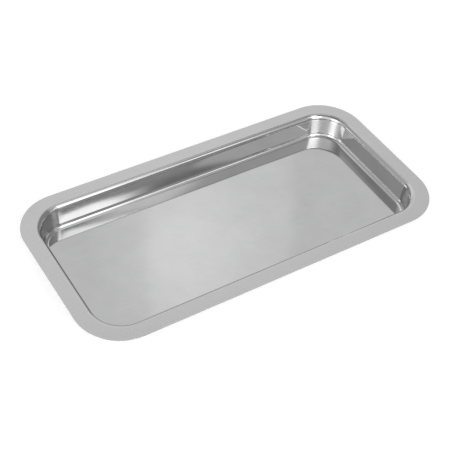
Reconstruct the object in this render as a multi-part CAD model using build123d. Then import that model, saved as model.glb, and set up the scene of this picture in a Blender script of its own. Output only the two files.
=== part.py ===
from build123d import *
import math
import os

# A shallow rectangular tray, pressed in one stroke from one flat blank of
# stainless steel.  Millimetres, +Z up.  The origin is on the surface that the
# tray stands on, under the middle of its floor.

# driving dimensions
tray_length = 300.0          # over the rim, along X
tray_width = 150.0           # over the rim, along Y
tray_height = 20.0           # from the underside of the floor to the top of the rim
sheet_thickness = 0.8
rim_width = 10.2             # flat of the rim, from its cut edge to where the bend starts
rim_corner_radius = 35.0     # cut corner of the rim, in plan
mouth_corner_radius = 23.0   # corner of the basin where wall and rim would meet, in plan
wall_draft = 6.0             # degrees that the wall leans outwards from upright
rim_bend_radius = 4.2        # inside the bend from rim to wall, on the top face
floor_bend_radius = 3.6      # inside the bend from wall to floor, on the top face
edge_break = 0.15            # the cut edge is tumbled, so both its arrises are rounded

# worked out from them
rim_top = tray_height
rim_underside = rim_top - sheet_thickness
floor_top = sheet_thickness
draft = math.radians(wall_draft)
turn = math.radians(90.0 - wall_draft)                  # angle that each bend turns through
rim_bend_reach = rim_bend_radius * math.tan(turn / 2)   # bend start to the sharp mouth
mouth_length = tray_length - 2 * (rim_width + rim_bend_reach)
mouth_width = tray_width - 2 * (rim_width + rim_bend_reach)
near = 0.001                                            # tells one height or place from another


def rounded_block(length, width, radius, z_from, depth, taper=0.0):
    """A block with rounded corners in plan that goes down from z_from."""
    with BuildPart() as block:
        with BuildSketch(Plane.XY.offset(z_from)):
            RectangleRounded(length, width, radius)
        extrude(amount=-depth, taper=taper)
    return block.part


def level_edges(solid, z, on_rim_outline):
    """The edges that lie at height z: those of the rim's cut edge, or all the others."""
    chosen = []
    for edge in solid.edges():
        box = edge.bounding_box()
        reach_x = max(abs(box.min.X), abs(box.max.X))
        reach_y = max(abs(box.min.Y), abs(box.max.Y))
        level = abs(box.min.Z - z) < near and abs(box.max.Z - z) < near
        outermost = reach_x > tray_length / 2 - near or reach_y > tray_width / 2 - near
        if level and outermost == on_rim_outline:
            chosen.append(edge)
    return chosen


def basin_block(grow):
    """The space inside the wall, or with grow the outside of wall and floor."""
    # the wall keeps the sheet's thickness square to itself, so grown sideways it is wider,
    # and the mouth of the outside is taken where its wall would reach the rim's top
    sideways = grow / math.cos(draft)
    block = rounded_block(
        mouth_length + 2 * sideways,
        mouth_width + 2 * sideways,
        mouth_corner_radius + sideways,
        rim_top,
        rim_top - floor_top + grow,
        taper=wall_draft,
    )
    bottom = floor_top - grow
    return fillet(level_edges(block, bottom, False), floor_bend_radius + grow)


def make_tray():
    """Rim, wall and floor in one sheet of one thickness."""
    rim = rounded_block(tray_length, tray_width, rim_corner_radius, rim_top, sheet_thickness)
    outside = basin_block(sheet_thickness)
    inside = basin_block(0.0)
    tray = rim + outside - inside
    # the bend from rim to wall: its underside first, so that there is metal above it to round
    under_edges = level_edges(tray, rim_underside, False)
    tray = fillet(under_edges, rim_bend_radius - sheet_thickness)
    mouth_edges = level_edges(tray, rim_top, False)
    tray = fillet(mouth_edges, rim_bend_radius)
    cut_edges = level_edges(tray, rim_top, True) + level_edges(tray, rim_underside, True)
    return fillet(cut_edges, edge_break)


os.makedirs("parts", exist_ok=True)
tray = make_tray()
tray.label = "pressed_tray"
export_step(tray, "parts/pressed_tray.step")
print("pressed_tray volume %.1f mm3, mass at 7.9 g/cm3 %.0f g" % (tray.volume, tray.volume * 0.0079))
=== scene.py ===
import bpy
import math
from mathutils import Matrix, Vector


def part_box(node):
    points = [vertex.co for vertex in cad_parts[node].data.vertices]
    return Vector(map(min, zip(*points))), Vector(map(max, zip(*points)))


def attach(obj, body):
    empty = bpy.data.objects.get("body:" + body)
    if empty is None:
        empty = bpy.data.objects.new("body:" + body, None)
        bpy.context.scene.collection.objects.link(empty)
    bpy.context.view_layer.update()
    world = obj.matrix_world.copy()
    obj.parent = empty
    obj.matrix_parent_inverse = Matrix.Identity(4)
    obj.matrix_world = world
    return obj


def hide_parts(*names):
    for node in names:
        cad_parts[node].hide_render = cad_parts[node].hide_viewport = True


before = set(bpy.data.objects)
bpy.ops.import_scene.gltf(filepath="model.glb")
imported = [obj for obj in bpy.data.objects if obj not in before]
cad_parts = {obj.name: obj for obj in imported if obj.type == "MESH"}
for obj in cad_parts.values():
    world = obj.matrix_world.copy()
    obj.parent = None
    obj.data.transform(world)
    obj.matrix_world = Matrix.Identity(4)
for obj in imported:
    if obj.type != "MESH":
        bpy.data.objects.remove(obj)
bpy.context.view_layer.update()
print("frame loaded:", sorted(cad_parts))


def deselectAll():
    if bpy.context.object and bpy.context.object.mode != "OBJECT":
        bpy.ops.object.mode_set(mode="OBJECT")
    bpy.ops.object.select_all(action="DESELECT")


def takeUp(thing):
    deselectAll()
    thing.select_set(True)
    bpy.context.view_layer.objects.active = thing


def towards(azimuth, elevation):
    # away from the tray; azimuth 0 is in front of it, 90 to its right
    a, e = math.radians(azimuth), math.radians(elevation)
    return Vector((math.sin(a) * math.cos(e), -math.cos(a) * math.cos(e), math.sin(e)))


def levelAcross(azimuth):
    # to the right of someone who looks at the tray from there
    a = math.radians(azimuth)
    return Vector((math.cos(a), math.sin(a), 0))


def grey(level):
    return (level, level, level, 1)


# the tray, in metres; the overall length, width and height come from the CAD node
tray = {
    "sheet": 0.0008,
    "rimFlat": 0.0102,                # cut edge to where the bend starts
    "rimCorner": 0.035,
    "mouthCorner": 0.023,             # where wall and rim would meet
    "draft": math.radians(6.0),       # wall leans outwards
    "rimBend": 0.0042,
    "floorBend": 0.0036,
    "cornerSteps": 40,
    "bendSteps": 16,
    "arris": 0.00015,                 # rounds both sides of the cut edge
    "arrisSteps": 3,
    "arrisAngle": math.radians(50),   # only sharper edges get an arris
    "smoothAngle": math.radians(40),  # only sharper edges show as edges
    "hair": 0.00001,                  # near enough to count as level with
}


def roundedLoop(length, width, corner, z):
    # a flat outline whose four corners are bevelled round
    deselectAll()
    bpy.ops.mesh.primitive_plane_add(size=1, location=(0, 0, z))
    loop = bpy.context.object
    loop.scale = (length, width, 1)
    bpy.ops.object.transform_apply(location=True, rotation=False, scale=True)
    bpy.ops.object.mode_set(mode="EDIT")
    bpy.ops.mesh.select_all(action="SELECT")
    bpy.ops.mesh.bevel(offset=corner, offset_type="OFFSET", segments=tray["cornerSteps"],
                       profile=0.5, affect="VERTICES")
    bpy.ops.mesh.select_all(action="SELECT")
    bpy.ops.mesh.delete(type="ONLY_FACE")
    bpy.ops.object.mode_set(mode="OBJECT")
    return loop


def selectEdges(thing, wanted):
    # leaves edit mode on, with only the wanted edges selected
    takeUp(thing)
    bpy.ops.object.mode_set(mode="EDIT")
    bpy.ops.mesh.select_mode(type="EDGE")
    bpy.ops.mesh.select_all(action="DESELECT")
    bpy.ops.object.mode_set(mode="OBJECT")
    for edge in thing.data.edges:
        ends = [thing.data.vertices[i].co for i in edge.vertices]
        edge.select = wanted(*ends)
    bpy.ops.object.mode_set(mode="EDIT")


def pressTray():
    low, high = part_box("pressed_tray")
    length, width = high.x - low.x, high.y - low.y
    top, floor = high.z, low.z + tray["sheet"]
    # a bend starts this far from its corner, for each metre of its radius
    bendReach = math.tan((math.pi / 2 - tray["draft"]) / 2)
    mouthIn = tray["rimFlat"] + tray["rimBend"] * bendReach
    footIn = mouthIn + (top - floor) * math.tan(tray["draft"])
    footCorner = tray["mouthCorner"] - (footIn - mouthIn)
    # the sheet's top face starts as three loops: cut edge, mouth, foot of the wall
    loops = []
    for inset, corner, z in ((0, tray["rimCorner"], top),
                             (mouthIn, tray["mouthCorner"], top),
                             (footIn, footCorner, floor)):
        loops.append(roundedLoop(length - 2 * inset, width - 2 * inset, corner, z))
    deselectAll()
    for loop in loops:
        loop.select_set(True)
    bpy.context.view_layer.objects.active = loops[0]
    bpy.ops.object.join()
    sheet = bpy.context.object
    sheet.name = sheet.data.name = "pressedTray"

    def atTop(a, b):
        return min(a.z, b.z) > top - tray["hair"]

    def atFloor(a, b):
        return max(a.z, b.z) < floor + tray["hair"]

    def atMouth(a, b):
        reachX, reachY = max(abs(a.x), abs(b.x)), max(abs(a.y), abs(b.y))
        inset = mouthIn - tray["hair"]
        return atTop(a, b) and reachX < length / 2 - inset and reachY < width / 2 - inset

    def bend(wanted, radius):
        selectEdges(sheet, wanted)
        bpy.ops.mesh.bevel(offset=radius * bendReach, offset_type="OFFSET",
                           segments=tray["bendSteps"], profile=0.5, affect="EDGES")

    # rim, wall and floor
    selectEdges(sheet, atTop)
    bpy.ops.mesh.bridge_edge_loops()
    selectEdges(sheet, lambda a, b: atMouth(a, b) or atFloor(a, b))
    bpy.ops.mesh.bridge_edge_loops()
    selectEdges(sheet, atFloor)
    bpy.ops.mesh.edge_face_add()
    bend(atMouth, tray["rimBend"])
    bend(atFloor, tray["floorBend"])
    bpy.ops.mesh.select_all(action="SELECT")
    bpy.ops.mesh.normals_make_consistent(inside=False)
    bpy.ops.object.mode_set(mode="OBJECT")
    floorFace = max(sheet.data.polygons, key=lambda face: face.area)
    if floorFace.normal.z < 0:
        sheet.data.flip_normals()
    # the sheet's thickness goes down and outwards from its top face
    solid = sheet.modifiers.new("thickness", "SOLIDIFY")
    solid.thickness = tray["sheet"]
    solid.offset = -1
    solid.use_even_offset = True
    bpy.ops.object.modifier_apply(modifier=solid.name)
    arris = sheet.modifiers.new("arris", "BEVEL")
    arris.width = tray["arris"]
    arris.segments = tray["arrisSteps"]
    arris.limit_method = "ANGLE"
    arris.angle_limit = tray["arrisAngle"]
    bpy.ops.object.modifier_apply(modifier=arris.name)
    bpy.ops.object.shade_smooth_by_angle(angle=tray["smoothAngle"])
    flats = sheet.modifiers.new("flats", "WEIGHTED_NORMAL")     # keeps the flats flat beside the bends
    flats.keep_sharp = True
    bpy.ops.object.modifier_apply(modifier=flats.name)
    print("tray pressed:", len(sheet.data.polygons), "faces")
    return sheet


camera = {
    "azimuth": -36.001, "elevation": 45.414, "roll": 5.887,   # degrees
    "distance": 2.55695, "across": -0.01699, "up": -0.04162,  # in tray lengths, from the middle of the rim
    "sensor": 36.0, "lens": 81.7176,                          # millimetres
}


def placeCamera():
    low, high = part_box("pressed_tray")
    trayLength = high.x - low.x
    back = towards(camera["azimuth"], camera["elevation"])
    level = levelAcross(camera["azimuth"])
    above = back.cross(level)
    roll = math.radians(camera["roll"])
    right = math.cos(roll) * level + math.sin(roll) * above
    up = math.cos(roll) * above - math.sin(roll) * level
    offset = camera["across"] * right + camera["up"] * up + camera["distance"] * back
    place = Vector((0, 0, high.z)) + trayLength * offset
    data = bpy.data.cameras.new("camera")
    data.sensor_width = camera["sensor"]
    data.lens = camera["lens"]
    view = bpy.data.objects.new("camera", data)
    bpy.context.scene.collection.objects.link(view)
    view.matrix_world = Matrix.Translation(place) @ Matrix((right, up, back)).transposed().to_4x4()
    bpy.context.scene.camera = view
    print("camera placed:", tuple(round(value, 3) for value in place))


studio = {
    "distance": 10.0,         # from the tray to every softbox, metres
    "room": 0.30,             # what the unlit room gives back
    "backdrop": 0.93,         # what stands behind a low view
    # each softbox: azimuth and elevation of its middle, width and height that it
    # covers as seen from the tray, roll (all in degrees), and brightness
    "softboxes": {
        "frontFill": (-43, 36.5, 100, 53, 8, 0.69),
        "sideFill": (-101, 19, 52, 70, 12, 0.25),
        "leftGlow": (-108, 22, 22, 28, 5, 0.16),
        "leftBox": (-73, 27, 28, 37, -8, 2.00),
        "lowLeft": (-131, 9, 13, 14, 0, 1.40),
        "rightLow": (1.5, 21, 31, 25, 0, 1.20),
        "rightHigh": (4.1, 45.05, 37, 22.1, 2, 1.95),
        "rightGlint": (33, 42, 11, 9, 0, 1.50),
        "rightGap": (23, 29, 13, 11, 0, 0.24),
        "overhead": (38, 64, 10.5, 15, 0, 1.46),
        "rightFill": (40.5, 27, 18, 18, 18, 0.48),
        "rightEdge": (36, 54.8, 9, 8, 0, 0.50),
        "rightTop": (48, 49, 20, 14, -8, 0.36),
        "topFill": (98, 73, 31, 20, 30, 0.42),
        "backWall": (156.5, 30, 60, 60, 4, 0.43),
        "backLeft": (-169, 44, 32, 62, 0, 0.24),
        "backGlow": (144.3, 46, 9.6, 15, 6, 0.09),
        "backMid": (147.5, 47, 13, 15, 6, 0.17),
        "farLeft": (-150, 53, 25, 30, 28, 0.10),
    },
    # the share of a softbox that fades out towards its sides and towards its ends,
    # and the softboxes that have shares of their own
    "feather": (0.08, 0.08),
    "feathers": {
        "leftBox": (0.25, 0.25),
        "rightLow": (0.12, 0.12),
        "rightHigh": (0.12, 0.02),
        "rightGap": (0.3, 0.3),
        "backGlow": (0.1, 0.1),
        "backMid": (0.5, 0.5),
        "rightEdge": (0.3, 0.3),
    },
}


def fadeEdges(lamp, feather):
    # the cloth is bright all over and fades out at its edges
    lamp.use_nodes = True
    nodes, links = lamp.node_tree.nodes, lamp.node_tree.links
    spot = nodes.new("ShaderNodeSeparateXYZ")
    links.new(nodes.new("ShaderNodeNewGeometry").outputs["Parametric"], spot.inputs[0])
    both = nodes.new("ShaderNodeMath")
    both.operation = "MULTIPLY"
    for axis, share, socket in zip(("X", "Y"), feather, both.inputs):
        fromEdge = nodes.new("ShaderNodeMath")
        fromEdge.operation = "PINGPONG"            # 0 at both edges, 0.5 in the middle
        fromEdge.inputs[1].default_value = 0.5
        links.new(spot.outputs[axis], fromEdge.inputs[0])
        ease = nodes.new("ShaderNodeMapRange")
        ease.interpolation_type = "SMOOTHSTEP"
        ease.inputs["From Max"].default_value = share
        links.new(fromEdge.outputs[0], ease.inputs["Value"])
        links.new(ease.outputs["Result"], socket)
    links.new(both.outputs[0], nodes["Emission"].inputs["Strength"])


def hangSoftbox(name, azimuth, elevation, width, height, roll, brightness):
    away = studio["distance"]
    middle = towards(azimuth, elevation)
    across = levelAcross(azimuth)
    lamp = bpy.data.lights.new(name, "AREA")
    lamp.shape = "RECTANGLE"
    lamp.size = 2 * away * math.tan(math.radians(width / 2))
    lamp.size_y = 2 * away * math.tan(math.radians(height / 2))
    lamp.energy = math.pi * lamp.size * lamp.size_y * brightness
    fadeEdges(lamp, studio["feathers"].get(name, studio["feather"]))
    softbox = bpy.data.objects.new(name, lamp)
    bpy.context.scene.collection.objects.link(softbox)
    facing = Matrix((across, middle.cross(across), middle)).transposed()
    turned = facing @ Matrix.Rotation(math.radians(roll), 3, "Z")
    softbox.matrix_world = Matrix.Translation(middle * away) @ turned.to_4x4()
    softbox.visible_camera = False


def lightStudio():
    scene = bpy.context.scene
    scene.view_settings.view_transform = "Standard"
    room = bpy.data.worlds.new("studioRoom")
    room.use_nodes = True
    nodes, links = room.node_tree.nodes, room.node_tree.links
    nodes.clear()
    walls = nodes.new("ShaderNodeBackground")
    walls.inputs["Color"].default_value = grey(studio["room"])
    backdrop = nodes.new("ShaderNodeBackground")
    backdrop.inputs["Color"].default_value = grey(studio["backdrop"])
    path = nodes.new("ShaderNodeLightPath")
    pick = nodes.new("ShaderNodeMixShader")
    out = nodes.new("ShaderNodeOutputWorld")
    links.new(path.outputs["Is Camera Ray"], pick.inputs["Fac"])
    links.new(walls.outputs["Background"], pick.inputs[1])
    links.new(backdrop.outputs["Background"], pick.inputs[2])
    links.new(pick.outputs["Shader"], out.inputs["Surface"])
    scene.world = room
    for name, softbox in studio["softboxes"].items():
        hangSoftbox(name, *softbox)
    print("studio lit:", len(studio["softboxes"]), "softboxes")


table = {
    "size": 8.0,          # metres, as is the next one
    "drop": 0.0001,       # keeps it just clear of the tray
    "lightness": 0.88,
    "glow": 0.42,         # lifts it to a plain white under the softboxes
    "roughness": 0.9,
    "gloss": 0.1,
}


def layTable():
    deselectAll()
    bpy.ops.mesh.primitive_plane_add(size=table["size"], location=(0, 0, -table["drop"]))
    top = bpy.context.object
    top.name = top.data.name = "paleTable"
    paper = bpy.data.materials.new("palePaper")
    paper.use_nodes = True
    skin = paper.node_tree.nodes["Principled BSDF"]
    skin.inputs["Base Color"].default_value = grey(table["lightness"])
    skin.inputs["Roughness"].default_value = table["roughness"]
    skin.inputs["Specular IOR Level"].default_value = table["gloss"]
    skin.inputs["Emission Color"].default_value = grey(1)
    skin.inputs["Emission Strength"].default_value = table["glow"]
    top.data.materials.append(paper)
    print("table laid:", table["size"], "m")


steel = {
    "tones": (0.57, 0.70),     # how much light one reflection keeps, least and most
    "tint": (1.0, 1.0, 1.004),

    # each pattern: how long a speck is along X, Y and Z in metres, detail, roughness, turn in radians
    "patterns": {
        "grain": ((0.00045, 0.00045, 0.00045), 2, 0.6, 0.0),
        "streaks": ((0.030, 0.0007, 0.0007), 2, 0.55, 0.0),
        "mottle": ((0.028, 0.028, 0.028), 4, 0.62, 0.0),
        "waves": ((0.088, 0.055, 0.055), 1, 0.4, 0.0),
        "scratches": ((0.05, 0.00035, 0.00035), 1, 0.3, 0.35),
        "ticks": ((0.018, 0.0003, 0.0003), 1, 0.3, -0.9),
    },
    "scratchLevels": (0.72, 0.80),   # the pattern is a mark only above these
    "tickLevels": (0.74, 0.82),
    "markPatches": (0.35, 0.6),      # how much mottle a mark needs to show
    "wearPatches": (0.3, 0.6),
    "wearLeast": 0.35,
    "wearReach": 0.0012,             # rubbed brighter this far in from the cut edge, metres

    # where a zone begins and where it is whole
    "flatFacing": (0.90, 0.99),          # the upward part of a flat face's normal
    "rimZone": (-0.005, -0.0015),        # metres from the tray's top
    "floorZone": (0.003, 0.0012),        # from its underside
    "cornerZone": (-0.042, -0.024),      # from its sides and its ends
    "aboveFloorBend": (0.003, 0.006),    # from its underside
    "belowRimBend": (-0.0025, -0.0055),  # from its top

    # how far each pattern shifts the tone
    "grainTone": 0.12,
    "rimGrainTone": 0.55,      # added on the rim
    "streakTone": 0.15,
    "floorStreakTone": 0.15,   # added on the floor
    "mottleTone": 0.9,
    "wearTone": 0.5,
    "rimTone": 0.45,

    "rimRoughness": 0.27,      # satin, as rolled and lightly blasted
    "floorRoughness": 0.052,
    "wallRoughness": 0.04,     # drawn smooth in the press
    "cornerRoughness": 0.28,   # added where the sheet was stretched
    "mottleRoughness": 0.06,   # this and the next two are added by their pattern
    "streakRoughness": 0.05,
    "markRoughness": 0.10,

    # relief, in metres
    "grainDepth": 0.0000017,
    "smoothGrain": 0.15,       # the share of the grain that the rest of the sheet has too
    "streakDepth": 0.0000009,
    "waveDepth": 0.00022,
    "markDepth": 0.0000015,
    "wallBow": 0.9,            # how strongly the walls belly inwards, 1/metre
}


def stainlessSteel():
    low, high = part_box("pressed_tray")
    finish = bpy.data.materials.new("stainlessSheet")
    finish.use_nodes = True
    nodes, links = finish.node_tree.nodes, finish.node_tree.links
    skin = nodes["Principled BSDF"]
    skin.inputs["Metallic"].default_value = 1

    def feed(value, socket):
        # a number is set on the socket, a socket is linked to it
        if isinstance(value, (int, float)):
            socket.default_value = value
        else:
            links.new(value, socket)

    def sums(operation, *values):
        made = nodes.new("ShaderNodeMath")
        made.operation = operation
        for value, socket in zip(values, made.inputs):
            feed(value, socket)
        return made.outputs[0]

    def times(*values):
        return sums("MULTIPLY", *values)

    def less(value, taken):
        return sums("SUBTRACT", value, taken)

    def add(total, pattern, strength):
        return sums("MULTIPLY_ADD", pattern, strength, total)

    def span(value, fromLow, fromHigh, toLow=0.0, toHigh=1.0):
        made = nodes.new("ShaderNodeMapRange")
        made.interpolation_type = "SMOOTHSTEP"
        for key, number in zip(("Value", "From Min", "From Max", "To Min", "To Max"),
                               (value, fromLow, fromHigh, toLow, toHigh)):
            feed(number, made.inputs[key])
        return made.outputs["Result"]

    def zone(value, side, limits):
        return span(value, side + limits[0], side + limits[1])

    def apart(vector):
        made = nodes.new("ShaderNodeSeparateXYZ")
        links.new(vector, made.inputs[0])
        return made.outputs["X"], made.outputs["Y"], made.outputs["Z"]

    def noise(name):
        size, detail, roughness, turn = steel["patterns"][name]
        mapping = nodes.new("ShaderNodeMapping")
        mapping.vector_type = "TEXTURE"
        mapping.inputs["Scale"].default_value = size
        mapping.inputs["Rotation"].default_value[2] = turn
        links.new(place, mapping.inputs["Vector"])
        made = nodes.new("ShaderNodeTexNoise")
        made.inputs["Scale"].default_value = 1
        made.inputs["Detail"].default_value = detail
        made.inputs["Roughness"].default_value = roughness
        links.new(mapping.outputs["Vector"], made.inputs["Vector"])
        return made.outputs["Fac"]

    # zones: the flat rim, the floor, and the wall of each corner between its two bends
    place = nodes.new("ShaderNodeTexCoord").outputs["Object"]
    x, y, z = apart(place)
    facing = apart(nodes.new("ShaderNodeNewGeometry").outputs["Normal"])
    flat = span(sums("ABSOLUTE", facing[2]), *steel["flatFacing"])
    onRim = times(flat, zone(z, high.z, steel["rimZone"]))
    onFloor = times(flat, zone(z, low.z, steel["floorZone"]))
    farX = sums("ABSOLUTE", x)
    farY = sums("ABSOLUTE", y)
    inCorner = times(zone(farX, high.x, steel["cornerZone"]), zone(farY, high.y, steel["cornerZone"]))
    betweenBends = times(zone(z, low.z, steel["aboveFloorBend"]), zone(z, high.z, steel["belowRimBend"]))
    drawn = times(times(inCorner, less(1.0, flat)), betweenBends)
    # how far in from the cut edge a point lies
    overX = sums("MAXIMUM", less(farX, high.x - tray["rimCorner"]), 0.0)
    overY = sums("MAXIMUM", less(farY, high.y - tray["rimCorner"]), 0.0)
    outward = sums("SQRT", sums("ADD", times(overX, overX), times(overY, overY)))
    inFromEdge = less(tray["rimCorner"], outward)

    # patterns, and how far the first three swing to either side of their middle
    grain, streaks, mottle = noise("grain"), noise("streaks"), noise("mottle")
    grainSwing, streakSwing, mottleSwing = less(grain, 0.5), less(streaks, 0.5), less(mottle, 0.5)
    waves = noise("waves")
    scratches = span(noise("scratches"), *steel["scratchLevels"])
    ticks = span(noise("ticks"), *steel["tickLevels"])
    marks = times(sums("MAXIMUM", scratches, ticks), span(mottle, *steel["markPatches"]))
    wearPatches = span(mottle, *steel["wearPatches"], steel["wearLeast"], 1.0)
    wear = times(span(inFromEdge, steel["wearReach"], 0.0), wearPatches)

    # tone: satin grain on the rim, long faint streaks on the floor, soft mottling everywhere
    tone = add(0.5, grainSwing, add(steel["grainTone"], onRim, steel["rimGrainTone"]))
    tone = add(tone, streakSwing, add(steel["streakTone"], onFloor, steel["floorStreakTone"]))
    tone = add(tone, mottleSwing, steel["mottleTone"])
    tone = add(tone, wear, steel["wearTone"])
    tone = add(tone, onRim, steel["rimTone"])
    tones = nodes.new("ShaderNodeMix")
    tones.data_type = "RGBA"
    feed(tone, tones.inputs["Factor"])
    for socket, level in zip((tones.inputs[6], tones.inputs[7]), steel["tones"]):   # its colour sockets
        socket.default_value = [level * tint for tint in steel["tint"]] + [1]
    links.new(tones.outputs[2], skin.inputs["Base Color"])

    # roughness by zone, broken up by the same patterns
    rough = add(steel["wallRoughness"], onRim, steel["rimRoughness"] - steel["wallRoughness"])
    rough = add(rough, onFloor, steel["floorRoughness"] - steel["wallRoughness"])
    rough = add(rough, drawn, steel["cornerRoughness"])
    rough = add(rough, mottleSwing, steel["mottleRoughness"])
    rough = add(rough, streakSwing, steel["streakRoughness"])
    rough = add(rough, marks, steel["markRoughness"])
    links.new(rough, skin.inputs["Roughness"])

    # relief: satin grain, rolling streaks, hairline marks, and the waves and belly left by the press
    relief = times(grain, add(steel["grainDepth"] * steel["smoothGrain"], onRim, steel["grainDepth"]))
    relief = add(relief, streaks, steel["streakDepth"])
    relief = add(relief, waves, steel["waveDepth"])
    relief = add(relief, marks, -steel["markDepth"])
    upWall = less(z, (high.z + low.z) / 2)
    relief = add(relief, times(upWall, upWall), -steel["wallBow"])
    bump = nodes.new("ShaderNodeBump")
    bump.inputs["Strength"].default_value = 1
    bump.inputs["Distance"].default_value = 1
    feed(relief, bump.inputs["Height"])
    links.new(bump.outputs["Normal"], skin.inputs["Normal"])
    print("steel mixed:", len(nodes), "nodes")
    return finish


placeCamera()
lightStudio()
layTable()
sheet = pressTray()
sheet.data.materials.append(stainlessSteel())
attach(sheet, "root")
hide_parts("pressed_tray")
